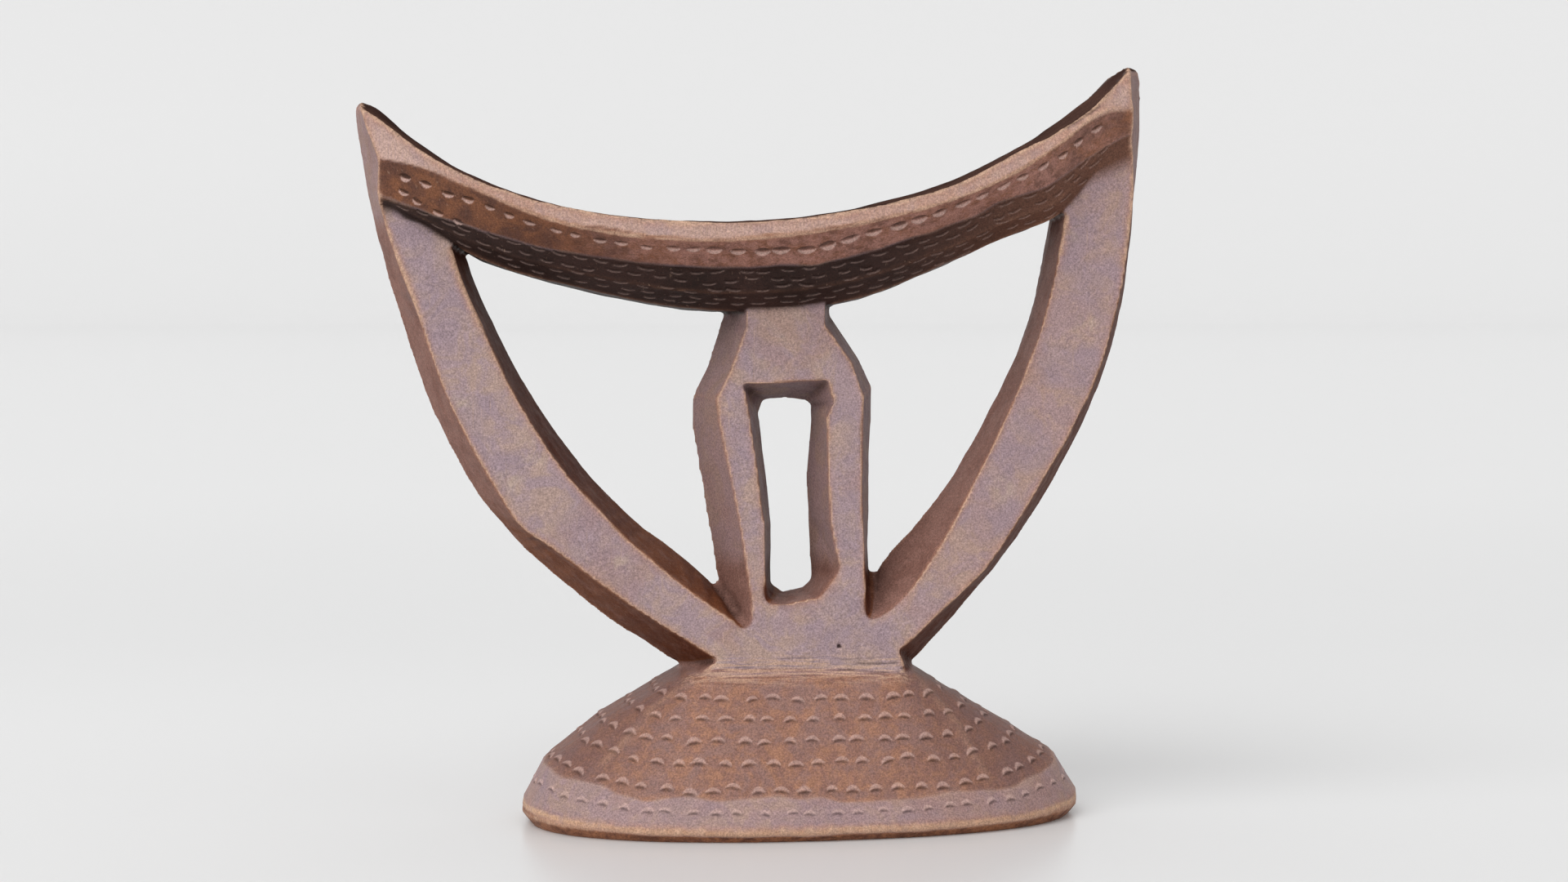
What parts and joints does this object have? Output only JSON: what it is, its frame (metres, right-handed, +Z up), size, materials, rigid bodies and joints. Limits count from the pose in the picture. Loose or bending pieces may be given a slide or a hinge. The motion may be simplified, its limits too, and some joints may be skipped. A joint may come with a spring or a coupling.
{
  "type": "headrest",
  "caption": "Carved wooden headrest: a crescent neck rest on two curved struts and a slotted post, rising from one hub on an oval foot.",
  "frame": {"origin": "centre of the foot's underside, on the surface that the headrest stands on", "axes": "+X along the rest towards its higher horn, +Y through the thickness to the far side, +Z up"},
  "size_m": [0.1708, 0.0705, 0.1641],
  "materials": {
    "frame_wood": "satin, hand-worn",
    "rest_wood": "satin, hand-worn, black patina on top",
    "foot_wood": "satin, hand-worn"
  },
  "bodies": {
    "root": {"foot": "foot_wood", "hub": "frame_wood", "left_strut": "frame_wood", "right_strut": "frame_wood", "post_left_leg": "frame_wood", "post_right_leg": "frame_wood", "post_head": "frame_wood", "head_rest": "rest_wood"}
  },
  "joints": []
}
